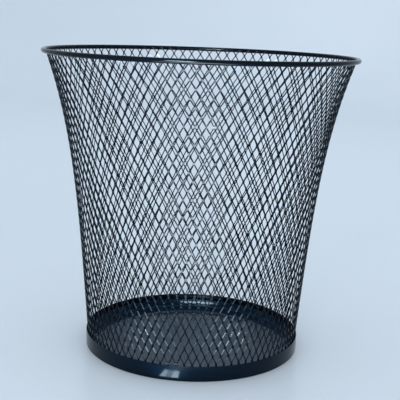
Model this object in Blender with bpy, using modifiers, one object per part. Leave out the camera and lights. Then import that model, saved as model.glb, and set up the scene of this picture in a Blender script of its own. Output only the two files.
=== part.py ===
"""Round wastebasket of black painted steel: an expanded-mesh wall that flares to a wire rim, on a pressed base.

Frame: +Z up, origin at the centre of the circle that the basket stands on. Every sub-part is turned about Z.
The mesh wall is a thin closed shell here: it holds the wall's place, outline and thickness, not its openings.
"""

import math

import bpy

MM = 0.001

# Driving dimensions, in millimetres.
RIM_DIAMETER = 300.0  # over the wire rim
HEIGHT = 288.4  # floor to the top of the rim
BASE_DIAMETER = 211.0  # over the base band
RIM_WIRE = 4.4
FIT_GAP = 0.3  # left between pieces that touch on the real basket

# The wall's outer radius is FOOT + TAPER * z + FLARE * (z / HEIGHT) ** FLARE_POWER.
WALL_FOOT_RADIUS = 103.2
WALL_TAPER = 0.08
WALL_FLARE = 20.7
FLARE_POWER = 4
MESH_THICKNESS = 1.2  # across the raised strands of the expanded sheet
WALL_STATIONS = 11

BAND_HEIGHT = 14.6
BAND_SHEET = 0.8
HEM_WIDTH = 6.0  # the band's lower edge, turned in under the floor pan
HEM_RADIUS = 0.9

PAN_SHEET = 0.7
PAN_FLANGE_HEIGHT = 9.6
PAN_CORNER_RADIUS = 2.0
PAN_STEP_RADIUS = 84.0  # the middle of the floor is pressed down inside this radius
PAN_STEP_DEPTH = 0.7
PAN_STEP_WIDTH = 1.6

SEGMENTS = 72
WIRE_SIDES = 12
ARC_STEPS = 4

RIM_INNER_RADIUS = RIM_DIAMETER / 2 - RIM_WIRE
WALL_TOP_RADIUS = RIM_INNER_RADIUS - FIT_GAP
HEM_TOP = BAND_SHEET
WALL_BOTTOM = HEM_TOP + FIT_GAP
WALL_TOP = HEIGHT - 0.6
PAN_UNDERSIDE = HEM_TOP + FIT_GAP
PAN_FLANGE_RADIUS = WALL_FOOT_RADIUS - MESH_THICKNESS - FIT_GAP


def clear_scene():
    for obj in list(bpy.data.objects):
        bpy.data.objects.remove(obj, do_unlink=True)


def new_collection(name):
    collection = bpy.data.collections.new(name)
    bpy.context.scene.collection.children.link(collection)
    return collection


def painted_steel(name, colour, roughness):
    """Black gloss paint over steel, so the surface itself isn't metallic."""
    material = bpy.data.materials.new(name)
    material.use_nodes = True
    shader = material.node_tree.nodes["Principled BSDF"]
    shader.inputs["Base Color"].default_value = (*colour, 1.0)
    shader.inputs["Roughness"].default_value = roughness
    shader.inputs["Metallic"].default_value = 0.0
    material.diffuse_color = (*colour, 1.0)
    return material


def wall_radius(z):
    """Outer radius of the mesh wall at height z; the last few millimetres stand straight inside the rim."""
    flared = WALL_FOOT_RADIUS + WALL_TAPER * z + WALL_FLARE * (z / HEIGHT) ** FLARE_POWER
    return min(flared, WALL_TOP_RADIUS)


def arc(centre, radius, start_degrees, end_degrees):
    """Points (r, z) on an arc in the profile's plane."""
    points = []
    for step in range(ARC_STEPS + 1):
        angle = math.radians(start_degrees + (end_degrees - start_degrees) * step / ARC_STEPS)
        points.append((centre[0] + radius * math.cos(angle), centre[1] + radius * math.sin(angle)))
    return points


def turned_shell(name, profile, thickness, material, collection):
    """A sheet turned about Z. The profile (r, z) is its outer face, top to bottom, and the sheet lies inside it."""
    mesh = bpy.data.meshes.new(name)
    points = [(r * MM, 0.0, z * MM) for r, z in profile]
    edges = [(index, index + 1) for index in range(len(points) - 1)]
    mesh.from_pydata(points, edges, [])
    obj = bpy.data.objects.new(name, mesh)
    collection.objects.link(obj)

    screw = obj.modifiers.new("Turn", "SCREW")
    screw.axis = "Z"
    screw.angle = math.tau
    screw.steps = SEGMENTS
    screw.render_steps = SEGMENTS
    screw.use_merge_vertices = True
    screw.merge_threshold = 0.00001
    screw.use_smooth_shade = True

    sheet = obj.modifiers.new("Sheet", "SOLIDIFY")
    sheet.thickness = thickness * MM
    sheet.offset = -1.0
    sheet.use_even_offset = True

    mesh.materials.append(material)
    return obj


def make_rim_ring(collection, material):
    """A wire hoop outside the top edge of the mesh."""
    bpy.ops.mesh.primitive_torus_add(
        major_segments=SEGMENTS,
        minor_segments=WIRE_SIDES,
        major_radius=(RIM_DIAMETER - RIM_WIRE) / 2 * MM,
        minor_radius=RIM_WIRE / 2 * MM,
        location=(0.0, 0.0, (HEIGHT - RIM_WIRE / 2) * MM),
    )
    ring = bpy.context.object
    ring.name = "rim_ring"
    ring.data.name = "rim_ring"
    for owner in list(ring.users_collection):
        owner.objects.unlink(ring)
    collection.objects.link(ring)
    ring.data.shade_smooth()
    ring.data.materials.append(material)
    return ring


def make_mesh_wall(collection, material):
    """The rolled and flared mesh, from just above the band's hem to just below the top of the rim."""
    profile = [(WALL_TOP_RADIUS, WALL_TOP)]
    for station in range(WALL_STATIONS):
        share = station / (WALL_STATIONS - 1)
        z = WALL_BOTTOM + (HEIGHT - RIM_WIRE - WALL_BOTTOM) * (1.0 - share ** 1.5)
        profile.append((wall_radius(z), z))
    return turned_shell("mesh_wall", profile, MESH_THICKNESS, material, collection)


def make_base_band(collection, material):
    """The sheet hoop outside the foot of the mesh, with its lower edge turned in as the ring it stands on."""
    radius = BASE_DIAMETER / 2
    profile = [(radius, BAND_HEIGHT)]
    profile += arc((radius - HEM_RADIUS, HEM_RADIUS), HEM_RADIUS, 0.0, -90.0)
    profile.append((radius - HEM_WIDTH, 0.0))
    return turned_shell("base_band", profile, BAND_SHEET, material, collection)


def make_floor_pan(collection, material):
    """The pressed floor: a flange inside the mesh, a rounded corner and a shallow step down to the middle."""
    corner = (PAN_FLANGE_RADIUS - PAN_CORNER_RADIUS, PAN_UNDERSIDE + PAN_CORNER_RADIUS)
    middle = PAN_UNDERSIDE - PAN_STEP_DEPTH
    profile = [(PAN_FLANGE_RADIUS, PAN_FLANGE_HEIGHT)]
    profile += arc(corner, PAN_CORNER_RADIUS, 0.0, -90.0)
    profile.append((PAN_STEP_RADIUS + PAN_STEP_WIDTH / 2, PAN_UNDERSIDE))
    profile.append((PAN_STEP_RADIUS - PAN_STEP_WIDTH / 2, middle))
    profile.append((0.0, middle))
    return turned_shell("floor_pan", profile, PAN_SHEET, material, collection)


def main():
    clear_scene()
    basket = new_collection("wastebasket")
    wire_paint = painted_steel("wire_paint", (0.010, 0.012, 0.016), 0.30)
    mesh_paint = painted_steel("mesh_paint", (0.009, 0.011, 0.015), 0.34)
    sheet_paint = painted_steel("sheet_paint", (0.011, 0.014, 0.019), 0.26)
    make_rim_ring(basket, wire_paint)
    make_mesh_wall(basket, mesh_paint)
    make_base_band(basket, sheet_paint)
    make_floor_pan(basket, sheet_paint)


main()
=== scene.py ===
"""Looks for the wire-mesh wastebasket: its lattice, wire rim, base band and floor pan, in black paint.

Lengths are in metres and angles in radians unless a name says otherwise. Z is up, the basket's axis.
"""

import math

import bpy
import numpy as np
from mathutils import Matrix, Vector


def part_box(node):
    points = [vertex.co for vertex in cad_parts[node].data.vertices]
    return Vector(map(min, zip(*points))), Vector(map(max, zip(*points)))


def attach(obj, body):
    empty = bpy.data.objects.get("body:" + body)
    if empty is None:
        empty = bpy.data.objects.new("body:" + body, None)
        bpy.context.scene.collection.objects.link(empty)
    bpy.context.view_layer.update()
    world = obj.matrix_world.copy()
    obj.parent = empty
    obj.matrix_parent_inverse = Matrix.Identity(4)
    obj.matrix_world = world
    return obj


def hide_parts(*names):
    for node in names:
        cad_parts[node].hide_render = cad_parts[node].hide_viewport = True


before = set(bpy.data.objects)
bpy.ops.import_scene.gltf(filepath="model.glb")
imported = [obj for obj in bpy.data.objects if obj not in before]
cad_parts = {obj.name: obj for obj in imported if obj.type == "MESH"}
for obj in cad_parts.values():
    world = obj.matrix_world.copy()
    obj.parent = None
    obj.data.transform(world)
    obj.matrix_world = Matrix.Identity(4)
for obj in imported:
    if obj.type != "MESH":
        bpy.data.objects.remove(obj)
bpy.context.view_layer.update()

MM = 0.001

# The expanded sheet.
COLUMNS = 90  # diamonds round the basket
STRAND_PITCH = 9.04 * MM  # from one bond's middle to the next, along a strand, at the foot
MOUTH_STRETCH = 0.46 * MM  # how much longer a strand is at the mouth, where the sheet was drawn outwards
STRETCH_POWER = 3
STRAND_WIDTH = 0.93 * MM
SHEET_THICKNESS = 0.60 * MM
FOOT_BOND = 2.9 * MM  # length of a bond, where two strands are still one piece of sheet
MOUTH_BOND = 1.8 * MM  # the stretched sheet necks in at the bonds
STRAND_TWIST = math.radians(26.0)  # how far each strand's face is turned about its own length
FACET_ANGLE = 10.0  # degrees; the sheet keeps its sheared edges and creases
TWIST_SHARE = 0.05  # share of a strand's length, at each end, over which it turns
CUT_DROP = 0.7 * MM  # the cut row of bonds, welded on the rim, below the rim's top
WALL_CLEARANCE = 0.1 * MM

# The rolled mesh isn't quite true: it is turned, sits a little off the axis, and its rows lean a little.
MESH_TURN = math.radians(-0.8)
MESH_WIND = math.radians(0.35)  # more turn at the mouth and less at the foot
FOOT_OFFSET = (0.4 * MM, -0.2 * MM)
MOUTH_OFFSET = (-2.3 * MM, 2.7 * MM)
FOOT_LEAN = (0.022, -0.008)  # rise of the rows along X and Y
MOUTH_LEAN = (0.0, 0.006)

# The wall's outline, as in the CAD part: foot radius plus a straight taper plus a flare.
FOOT_RADIUS = 103.2 * MM
WALL_TAPER = 0.08
FLARE_SHARE = 20.7 / 288.4  # of the height
FLARE_POWER = 4
SLOPE_STEP = 0.5 * MM  # over which the outline's slope is measured
ROW_PASSES = 3  # enough for a row's height to settle

# The turned pieces.
WIRE_SIDES = 24
SHEET_SEGMENTS = 256
SHEET_SMOOTH_ANGLE = 50.0  # degrees
AXIS_RADIUS = 1e-6  # a profile point nearer the axis than this is on it
BAND_SHEET = 0.8 * MM
BAND_ROLL = 1.2 * MM  # radius of the corner where the lower edge turns in
BAND_HEM = 6.0 * MM  # width of the turned-in lower edge
PAN_SHEET = 0.7 * MM
PAN_CORNER = 2.0 * MM
PAN_STEP_RADIUS = 84.0 * MM
PAN_STEP_WIDTH = 3.0 * MM
PAN_STEP_HEIGHT = 0.7 * MM
PAN_STEP_POINTS = 7

# Paint.
CLOUD_SCALE = 18.0
CLOUD_DETAIL = 4.0
CLOUD_LOW = 0.3  # most of the noise's values lie between these two
CLOUD_HIGH = 0.7
SHADE_DRIFT = 0.25
PAINT_IOR = 1.5
SPECULAR_TINT = (0.65, 0.86, 1.0)
PEEL_SCALE = 900.0
PEEL_DETAIL = 2.0
PEEL_DEPTH = 0.02 * MM

# Stage: a round desk top whose edge curves up into a wall.
STAGE_COLOUR = (0.715, 0.745, 0.775)
STAGE_SHADES = (0.985, 1.015)  # the darker and lighter share of its colour
STAGE_CLOUD_SCALE = 3.0
STAGE_GLOSS = 0.3  # roughness of the desk top round the basket
STAGE_MATT = 1.0
STAGE_GLOSS_RADIUS = 0.7
STAGE_RADIUS = 2.4
STAGE_CURVE = 0.8
STAGE_WALL_RADIUS = 3.2
STAGE_WALL_TOP = 1.6
STAGE_SEGMENTS = 96
STAGE_SMOOTH_ANGLE = 60.0  # degrees

# Lights. The window and the cards place the highlights. None of them is seen by the camera.
SKY_COLOUR = (0.78, 0.89, 1.0)
SKY_STRENGTH = 1.12
DAYLIGHT = (0.97, 0.99, 1.0)
DOWN = Vector((0.0, 0.0, -1.0))
CARD_HEIGHT = 1.0 * MM  # of a desk card above the desk
DESK_CARDS = (  # name, azimuth in degrees, near and far edge from the band, width, radiance
    ("mesh_card", 3.6, 175 * MM, 700 * MM, 70 * MM, 50.0),
    ("mesh_card_wide", 3.6, 175 * MM, 700 * MM, 340 * MM, 30.0),
    ("band_card_right", 7.8, 5 * MM, 29 * MM, 7 * MM, 30.0),
    ("band_card_left", 14.1, 5 * MM, 29 * MM, 5 * MM, 26.0),
    ("band_card_wide", 11.0, 5 * MM, 29 * MM, 20 * MM, 13.0),
)
UPRIGHT_AZIMUTH = 12.0  # degrees
UPRIGHT_LIGHTS = (  # name, distance from the axis, height, size, radiance, spread in degrees
    ("window", 1.6, 0.28, (0.45, 0.22), 25.0, 180.0),
    ("rim_light", 0.55, 0.355, (0.15, 0.08), 20.0, 40.0),
)
PAN_CARD_PLACE = (3.0 * MM, 78.0 * MM, 3.4 * MM)
PAN_CARD_SIZE = (0.020, 0.014)
PAN_CARD_RADIANCE = 34.0

# Camera: slightly above the rim, looking down, and rolled so that the basket leans to the right.
CAMERA_PLACE = (0.0, -0.8401, 0.3202)
CAMERA_LENS = 78.7  # millimetres
CAMERA_PITCH = math.radians(11.77)
CAMERA_YAW = math.radians(0.26)
CAMERA_ROLL = math.radians(2.14)


def new_mesh_object(name, vertices, faces, smooth_angle_degrees):
    mesh = bpy.data.meshes.new(name)
    mesh.from_pydata(vertices, [], faces)
    mesh.validate()
    mesh.shade_smooth()
    mesh.set_sharp_from_angle(angle=math.radians(smooth_angle_degrees))
    obj = bpy.data.objects.new(name, mesh)
    bpy.context.scene.collection.objects.link(obj)
    return obj


# ---------------------------------------------------------------- the wall's outline

wall_low, wall_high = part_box("mesh_wall")
rim_low, rim_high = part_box("rim_ring")
_, band_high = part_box("base_band")
pan_low, pan_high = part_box("floor_pan")

HEIGHT = rim_high.z
WIRE_RADIUS = (rim_high.z - rim_low.z) / 2
RIM_RADIUS = rim_high.x - WIRE_RADIUS
WALL_TOP_RADIUS = wall_high.x


def outer_radius(z):
    """Outer radius of the wall. It stops growing where it meets the rim."""
    flared = FOOT_RADIUS + WALL_TAPER * z + FLARE_SHARE * HEIGHT * (z / HEIGHT) ** FLARE_POWER
    return np.minimum(flared, WALL_TOP_RADIUS)


def outline_slope(z):
    return (outer_radius(z + SLOPE_STEP) - outer_radius(z - SLOPE_STEP)) / (2 * SLOPE_STEP)


def middle_radius(z):
    """Middle of the sheet's raised thickness."""
    reach = STRAND_WIDTH / 2 * math.sin(STRAND_TWIST) + SHEET_THICKNESS / 2 * math.cos(STRAND_TWIST)
    return outer_radius(z) - reach - WALL_CLEARANCE


def row_heights():
    """Heights of the bond rows, top to bottom. A strand keeps its length, so wider diamonds are shorter."""
    heights = [HEIGHT - CUT_DROP]
    while True:
        z = heights[-1]
        for _ in range(ROW_PASSES):
            middle = (z + heights[-1]) / 2
            half_width = math.pi * middle_radius(middle) / COLUMNS
            strand = STRAND_PITCH + MOUTH_STRETCH * (middle / HEIGHT) ** STRETCH_POWER
            along = math.sqrt(strand ** 2 - half_width ** 2)
            z = heights[-1] - along / math.hypot(1.0, outline_slope(middle))
        if z < wall_low.z + FOOT_BOND:
            return heights
        heights.append(z)


# ---------------------------------------------------------------- the lattice

def surface_frame(angle, z):
    """Point, circumferential, meridional and normal directions on the middle surface."""
    slope = outline_slope(z)
    out = Vector((math.cos(angle), math.sin(angle), 0.0))
    around = Vector((-math.sin(angle), math.cos(angle), 0.0))
    along = (out * slope + Vector((0.0, 0.0, 1.0))).normalized()
    return out * middle_radius(z) + Vector((0.0, 0.0, z)), around, along, around.cross(along)


def blend(foot, mouth, z):
    """Value at a height, between its values at the foot and at the mouth."""
    return foot + (mouth - foot) * z / HEIGHT


def bond_place(row, column, heights):
    """Angle and height of a bond's middle, with the mesh's small errors."""
    nominal = (column + (row % 2) / 2) * 2 * math.pi / COLUMNS
    z = heights[row]
    cosine = math.cos(nominal)
    sine = math.sin(nominal)
    radius = middle_radius(z)
    offset_x = blend(FOOT_OFFSET[0], MOUTH_OFFSET[0], z)
    offset_y = blend(FOOT_OFFSET[1], MOUTH_OFFSET[1], z)
    angle = nominal + MESH_TURN + MESH_WIND * (2 * z / HEIGHT - 1)
    angle += (offset_y * cosine - offset_x * sine) / radius
    lean_x = blend(FOOT_LEAN[0], MOUTH_LEAN[0], z)
    lean_y = blend(FOOT_LEAN[1], MOUTH_LEAN[1], z)
    leaned = z + radius * (lean_x * cosine + lean_y * sine)
    highest = wall_high.z - WALL_CLEARANCE
    return angle, min(leaned, highest)


def strand_section(point, across, normal, add):
    """Four corners round a strand: outer left, outer right, inner right, inner left."""
    side = across * STRAND_WIDTH / 2
    face = normal * SHEET_THICKNESS / 2
    return (
        add(point - side + face),
        add(point + side + face),
        add(point + side - face),
        add(point - side - face),
    )


def bond_section(angle, z, add):
    """Left and right halves of a bond at one of its ends; they share the two middle corners."""
    point, around, _, normal = surface_frame(angle, z)
    left = strand_section(point - around * STRAND_WIDTH / 2, around, normal, add)
    right_outer = add(point + around * STRAND_WIDTH + normal * SHEET_THICKNESS / 2)
    right_inner = add(point + around * STRAND_WIDTH - normal * SHEET_THICKNESS / 2)
    right = (left[1], right_outer, right_inner, left[2])
    return {"left": left, "right": right}


def build_lattice():
    """One sheet: twice COLUMNS strips that zigzag downwards, joined in pairs at every bond."""
    heights = row_heights()
    last_row = len(heights) - 1
    vertices = []
    faces = []

    def add(point):
        vertices.append(point)
        return len(vertices) - 1

    def join(upper, lower, sides):
        for side in sides:
            following = (side + 1) % 4
            faces.append((upper[side], lower[side], lower[following], upper[following]))

    places = {}
    bonds = {}
    for row in range(last_row + 1):
        for column in range(COLUMNS):
            angle, z = bond_place(row, column, heights)
            half_bond = blend(FOOT_BOND, MOUTH_BOND, z) / 2
            above = 0.0 if row == 0 else half_bond
            below = 0.0 if row == last_row else half_bond
            places[row, column] = (angle, z)
            bonds[row, column] = (bond_section(angle, z + above, add), bond_section(angle, z - below, add))

    def strip_at(strip, row):
        """Which bond a strip passes through at a row, in which half of it, and how many turns round it is."""
        if row % 2 == 0:
            column = (strip + 1) // 2
            half = "right" if strip % 2 == 0 else "left"
        else:
            column = strip // 2
            half = "left" if strip % 2 == 0 else "right"
        return column % COLUMNS, half, column // COLUMNS

    def strand_end(strip, row, drop):
        """Angle and height where a strip leaves (drop -1) or reaches (drop 1) a bond."""
        column, half, turns = strip_at(strip, row)
        angle, z = places[row, column]
        side = 1 if half == "right" else -1
        angle += turns * 2 * math.pi + side * STRAND_WIDTH / 2 / middle_radius(z)
        return angle, z + drop * blend(FOOT_BOND, MOUTH_BOND, z) / 2

    def build_strand(strip, row, leaving, reaching):
        """A straight strand, turned about its own length between its ends."""
        start_angle, start_z = strand_end(strip, row, -1)
        end_angle, end_z = strand_end(strip, row + 1, 1)
        turn = -STRAND_TWIST if end_angle < start_angle else STRAND_TWIST
        previous = leaving
        for share in (TWIST_SHARE, 1 - TWIST_SHARE):
            angle = start_angle + (end_angle - start_angle) * share
            z = start_z + (end_z - start_z) * share
            point, around, along, normal = surface_frame(angle, z)
            sideways = (end_angle - start_angle) * middle_radius(z)
            fall = (end_z - start_z) * math.hypot(1.0, outline_slope(z))
            tangent = (along * fall + around * sideways).normalized()
            across = normal.cross(tangent)
            rotation = Matrix.Rotation(turn, 3, -tangent)
            section = strand_section(point, rotation @ across, rotation @ normal, add)
            join(previous, section, (0, 1, 2, 3))
            previous = section
        join(previous, reaching, (0, 1, 2, 3))

    for strip in range(2 * COLUMNS):
        for row in range(last_row + 1):
            column, half, _ = strip_at(strip, row)
            upper_sections, lower_sections = bonds[row, column]
            upper = upper_sections[half]
            lower = lower_sections[half]
            join(upper, lower, (0, 2, 3) if half == "left" else (0, 1, 2))
            if row == 0:
                faces.append(upper)
            if row == last_row:
                faces.append(tuple(reversed(lower)))
                continue
            next_column, next_half, _ = strip_at(strip, row + 1)
            build_strand(strip, row, lower, bonds[row + 1, next_column][0][next_half])
    return new_mesh_object("mesh_lattice", vertices, faces, FACET_ANGLE)


# ---------------------------------------------------------------- turned pieces

def turned(name, profile, closed):
    """Turns a profile of (radius, z) about Z. Closed ones make rings; open ones start and end on the axis."""
    vertices = []
    faces = []
    rings = []
    for radius, z in profile:
        if radius < AXIS_RADIUS:
            rings.append([len(vertices)])
            vertices.append((0.0, 0.0, z))
            continue
        ring = []
        for step in range(SHEET_SEGMENTS):
            angle = 2 * math.pi * step / SHEET_SEGMENTS
            ring.append(len(vertices))
            vertices.append((radius * math.cos(angle), radius * math.sin(angle), z))
        rings.append(ring)
    pairs = list(zip(rings, rings[1:]))
    if closed:
        pairs.append((rings[-1], rings[0]))
    for upper, lower in pairs:
        for step in range(SHEET_SEGMENTS):
            following = (step + 1) % SHEET_SEGMENTS
            if len(upper) == 1:
                faces.append((upper[0], lower[step], lower[following]))
            elif len(lower) == 1:
                faces.append((upper[step], lower[0], upper[following]))
            else:
                faces.append((upper[step], lower[step], lower[following], upper[following]))
    return new_mesh_object(name, vertices, faces, SHEET_SMOOTH_ANGLE)


def smooth_step(share):
    """Eases from 0 to 1."""
    return share * share * (3 - 2 * share)


def arc(centre, radius, start_degrees, end_degrees, steps):
    """Points (radius, z) on an arc in a profile's plane."""
    points = []
    for step in range(steps + 1):
        angle = math.radians(start_degrees + (end_degrees - start_degrees) * step / steps)
        points.append((centre[0] + radius * math.cos(angle), centre[1] + radius * math.sin(angle)))
    return points


def build_rim():
    """The wire hoop."""
    profile = arc((RIM_RADIUS, HEIGHT - WIRE_RADIUS), WIRE_RADIUS, 90.0, -270.0, WIRE_SIDES)[:-1]
    return turned("rim_hoop", profile, True)


def build_band():
    """Sheet hoop with a rounded top edge and its lower edge turned in."""
    outer = band_high.x
    edge = BAND_SHEET / 2
    profile = arc((outer - edge, band_high.z - edge), edge, 180.0, 0.0, steps=8)
    profile += arc((outer - BAND_ROLL, BAND_ROLL), BAND_ROLL, 0.0, -90.0, steps=8)
    profile += arc((outer - BAND_HEM, edge), edge, -90.0, -270.0, steps=6)
    profile += arc((outer - BAND_ROLL, BAND_ROLL), BAND_ROLL - BAND_SHEET, -90.0, 0.0, steps=4)
    return turned("band_hoop", profile, True)


def pan_step(low, shares):
    """The shallow step in one face of the floor, which is at height "low" inside it."""
    points = []
    for share in shares:
        radius = PAN_STEP_RADIUS + (share - 0.5) * PAN_STEP_WIDTH
        points.append((radius, low + smooth_step(share) * PAN_STEP_HEIGHT))
    return points


def build_pan():
    """Pressed floor: flange, rounded corner, raised ring and a shallow step down to the middle."""
    outer = pan_high.x
    middle = pan_low.z
    floor = middle + PAN_STEP_HEIGHT
    edge = PAN_SHEET / 2
    corner = (outer - PAN_CORNER, floor + PAN_CORNER)
    profile = [(0.0, middle + PAN_SHEET)]
    profile += pan_step(middle + PAN_SHEET, np.linspace(0.0, 1.0, PAN_STEP_POINTS))
    profile += arc(corner, PAN_CORNER - PAN_SHEET, -90.0, 0.0, steps=6)
    profile += arc((outer - edge, pan_high.z - edge), edge, 180.0, 0.0, steps=6)
    profile += arc(corner, PAN_CORNER, 0.0, -90.0, steps=6)
    profile += pan_step(middle, np.linspace(1.0, 0.0, PAN_STEP_POINTS))
    profile.append((0.0, middle))
    return turned("pan_floor", profile, False)


# ---------------------------------------------------------------- materials

def paint(name, colour, gloss, specular, peel):
    """Black paint: colour and roughness drift gently over it, and the finest bumps are orange peel."""
    material = bpy.data.materials.new(name)
    material.use_nodes = True
    tree = material.node_tree
    shader = tree.nodes["Principled BSDF"]
    shader.inputs["IOR"].default_value = PAINT_IOR
    shader.inputs["Specular IOR Level"].default_value = specular
    shader.inputs["Specular Tint"].default_value = (*SPECULAR_TINT, 1.0)
    coordinates = tree.nodes.new("ShaderNodeTexCoord")

    cloud = tree.nodes.new("ShaderNodeTexNoise")
    cloud.inputs["Scale"].default_value = CLOUD_SCALE
    cloud.inputs["Detail"].default_value = CLOUD_DETAIL
    tree.links.new(coordinates.outputs["Object"], cloud.inputs["Vector"])

    shade = tree.nodes.new("ShaderNodeMix")
    shade.data_type = "RGBA"
    shade.inputs["A"].default_value = (*[part * (1 - SHADE_DRIFT) for part in colour], 1.0)
    shade.inputs["B"].default_value = (*[part * (1 + SHADE_DRIFT) for part in colour], 1.0)
    tree.links.new(cloud.outputs["Fac"], shade.inputs["Factor"])
    tree.links.new(shade.outputs["Result"], shader.inputs["Base Color"])

    drift = tree.nodes.new("ShaderNodeMapRange")
    drift.inputs["From Min"].default_value = CLOUD_LOW
    drift.inputs["From Max"].default_value = CLOUD_HIGH
    drift.inputs["To Min"].default_value = gloss[0]
    drift.inputs["To Max"].default_value = gloss[1]
    tree.links.new(cloud.outputs["Fac"], drift.inputs["Value"])
    tree.links.new(drift.outputs["Result"], shader.inputs["Roughness"])

    grain = tree.nodes.new("ShaderNodeTexNoise")
    grain.inputs["Scale"].default_value = PEEL_SCALE
    grain.inputs["Detail"].default_value = PEEL_DETAIL
    tree.links.new(coordinates.outputs["Object"], grain.inputs["Vector"])
    bump = tree.nodes.new("ShaderNodeBump")
    bump.inputs["Strength"].default_value = peel
    bump.inputs["Distance"].default_value = PEEL_DEPTH
    tree.links.new(grain.outputs["Fac"], bump.inputs["Height"])
    tree.links.new(bump.outputs["Normal"], shader.inputs["Normal"])
    return material


def stage_material():
    """Pale desk top: a little glossy round the basket, matt further out."""
    material = bpy.data.materials.new("pale_stage")
    material.use_nodes = True
    tree = material.node_tree
    shader = tree.nodes["Principled BSDF"]
    coordinates = tree.nodes.new("ShaderNodeTexCoord")
    cloud = tree.nodes.new("ShaderNodeTexNoise")
    cloud.inputs["Scale"].default_value = STAGE_CLOUD_SCALE
    tree.links.new(coordinates.outputs["Object"], cloud.inputs["Vector"])
    shade = tree.nodes.new("ShaderNodeMix")
    shade.data_type = "RGBA"
    shade.inputs["A"].default_value = (*[part * STAGE_SHADES[0] for part in STAGE_COLOUR], 1.0)
    shade.inputs["B"].default_value = (*[part * STAGE_SHADES[1] for part in STAGE_COLOUR], 1.0)
    tree.links.new(cloud.outputs["Fac"], shade.inputs["Factor"])
    tree.links.new(shade.outputs["Result"], shader.inputs["Base Color"])
    distance = tree.nodes.new("ShaderNodeVectorMath")
    distance.operation = "LENGTH"
    tree.links.new(coordinates.outputs["Object"], distance.inputs[0])
    fade = tree.nodes.new("ShaderNodeMapRange")
    fade.inputs["From Min"].default_value = STAGE_GLOSS_RADIUS
    fade.inputs["From Max"].default_value = 2 * STAGE_GLOSS_RADIUS
    fade.inputs["To Min"].default_value = STAGE_GLOSS
    fade.inputs["To Max"].default_value = STAGE_MATT
    tree.links.new(distance.outputs["Value"], fade.inputs["Value"])
    tree.links.new(fade.outputs["Result"], shader.inputs["Roughness"])
    return material


# ---------------------------------------------------------------- stage, lights and camera

def build_stage():
    """The floor and backdrop in one piece."""
    profile = [(0.0, 0.0), (STAGE_RADIUS, 0.0)]
    profile += arc((STAGE_RADIUS, STAGE_CURVE), STAGE_CURVE, -90.0, 0.0, steps=12)
    profile.append((STAGE_WALL_RADIUS, STAGE_WALL_TOP))
    vertices = []
    faces = []
    for radius, z in profile:
        for step in range(STAGE_SEGMENTS):
            angle = 2 * math.pi * step / STAGE_SEGMENTS
            vertices.append((radius * math.cos(angle), radius * math.sin(angle), z))
    for ring in range(len(profile) - 1):
        for step in range(STAGE_SEGMENTS):
            following = (step + 1) % STAGE_SEGMENTS
            low = ring * STAGE_SEGMENTS
            high = low + STAGE_SEGMENTS
            faces.append((low + step, low + following, high + following, high + step))
    stage = new_mesh_object("stage_floor", vertices, faces, STAGE_SMOOTH_ANGLE)
    stage.data.materials.append(stage_material())


def area_light(name, location, away, side, size, radiance, spread_degrees=180.0):
    """A rectangular light with its back towards "away" and its width along "side", hidden from the camera."""
    data = bpy.data.lights.new(name, "AREA")
    data.shape = "RECTANGLE"
    data.size = size[0]
    data.size_y = size[1]
    data.energy = math.pi * size[0] * size[1] * radiance
    data.spread = math.radians(spread_degrees)
    data.color = DAYLIGHT
    light = bpy.data.objects.new(name, data)
    rotation = Matrix((side, away.cross(side), away)).transposed().to_4x4()
    light.matrix_world = Matrix.Translation(location) @ rotation
    light.visible_camera = False
    bpy.context.scene.collection.objects.link(light)


def in_front(azimuth_degrees):
    """Level directions away from the basket and across. Azimuth 0 is the camera's side, positive its left."""
    azimuth = math.radians(azimuth_degrees)
    away = Vector((-math.sin(azimuth), -math.cos(azimuth), 0.0))
    side = Vector((math.cos(azimuth), -math.sin(azimuth), 0.0))
    return away, side


def desk_card(name, azimuth_degrees, near, far, width, radiance):
    """A bright card lying on the desk. It shines up, between two distances from the band."""
    away, side = in_front(azimuth_degrees)
    location = away * (band_high.x + (near + far) / 2) + Vector((0.0, 0.0, CARD_HEIGHT))
    area_light(name, location, DOWN, side, (width, far - near), radiance)


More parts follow.
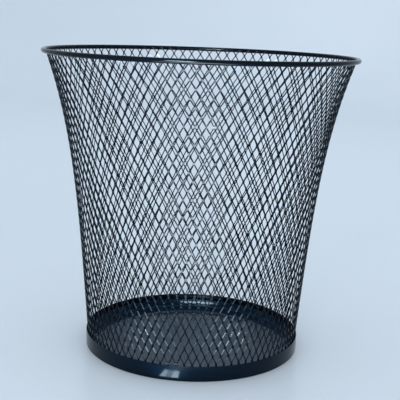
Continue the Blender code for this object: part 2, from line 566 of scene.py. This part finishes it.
def build_lights():
    """A pale sky for the soft light, and the lights that place the highlights."""
    world = bpy.data.worlds.new("studio")
    world.use_nodes = True
    background = world.node_tree.nodes["Background"]
    background.inputs["Color"].default_value = (*SKY_COLOUR, 1.0)
    background.inputs["Strength"].default_value = SKY_STRENGTH
    bpy.context.scene.world = world
    away, side = in_front(UPRIGHT_AZIMUTH)
    for name, distance, height, size, radiance, spread in UPRIGHT_LIGHTS:
        location = away * distance + Vector((0.0, 0.0, height))
        area_light(name, location, away, side, size, radiance, spread)
    for card in DESK_CARDS:
        desk_card(*card)
    along_x = Vector((1.0, 0.0, 0.0))
    area_light("pan_card", Vector(PAN_CARD_PLACE), DOWN, along_x, PAN_CARD_SIZE, PAN_CARD_RADIANCE)


def build_camera():
    """Places the camera from its pitch, yaw and roll."""
    ahead = math.cos(CAMERA_PITCH)
    forward = Vector((math.sin(CAMERA_YAW) * ahead, math.cos(CAMERA_YAW) * ahead, -math.sin(CAMERA_PITCH)))
    level = Vector((math.cos(CAMERA_YAW), -math.sin(CAMERA_YAW), 0.0))
    upward = level.cross(forward)
    right = level * math.cos(CAMERA_ROLL) + upward * math.sin(CAMERA_ROLL)
    up = upward * math.cos(CAMERA_ROLL) - level * math.sin(CAMERA_ROLL)
    data = bpy.data.cameras.new("camera")
    data.lens = CAMERA_LENS
    data.sensor_width = 36.0
    data.clip_start = 0.01
    data.clip_end = 50.0
    camera = bpy.data.objects.new("camera", data)
    rotation = Matrix((right, up, -forward)).transposed().to_4x4()
    camera.matrix_world = Matrix.Translation(CAMERA_PLACE) @ rotation
    bpy.context.scene.collection.objects.link(camera)
    bpy.context.scene.camera = camera


# ---------------------------------------------------------------- assembly

build_camera()
build_lights()
build_stage()

# Each look: colour, least and greatest roughness, specular level, strength of the orange peel.
wire_look = paint("wire_paint_look", (0.0005, 0.0010, 0.002), (0.14, 0.18), 0.085, 0.1)
mesh_look = paint("mesh_paint_look", (0.001, 0.002, 0.004), (0.12, 0.16), 0.12, 0.1)
band_look = paint("band_paint_look", (0.0005, 0.0035, 0.009), (0.14, 0.18), 0.15, 0.2)
# The band and the floor pan are one sheet paint. The pan's colour is about three times lighter and bluer than
# the band's. That is painted sheen for the bright surroundings its floor reflects, on top of its real
# reflections.
pan_look_with_painted_sheen = paint("pan_paint_with_painted_sheen", (0.001, 0.012, 0.030), (0.12, 0.18), 0.33, 0.1)

PIECES = (  # builder, CAD node that it replaces, material slot, look
    (build_lattice, "mesh_wall", "mesh_paint", mesh_look),
    (build_rim, "rim_ring", "wire_paint", wire_look),
    (build_band, "base_band", "sheet_paint", band_look),
    (build_pan, "floor_pan", "sheet_paint", pan_look_with_painted_sheen),
)
for build, node, slot, look in PIECES:
    piece = build()
    piece.data.materials.append(look)
    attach(piece, "root")
    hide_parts(node)

bpy.context.scene.view_settings.view_transform = "Standard"
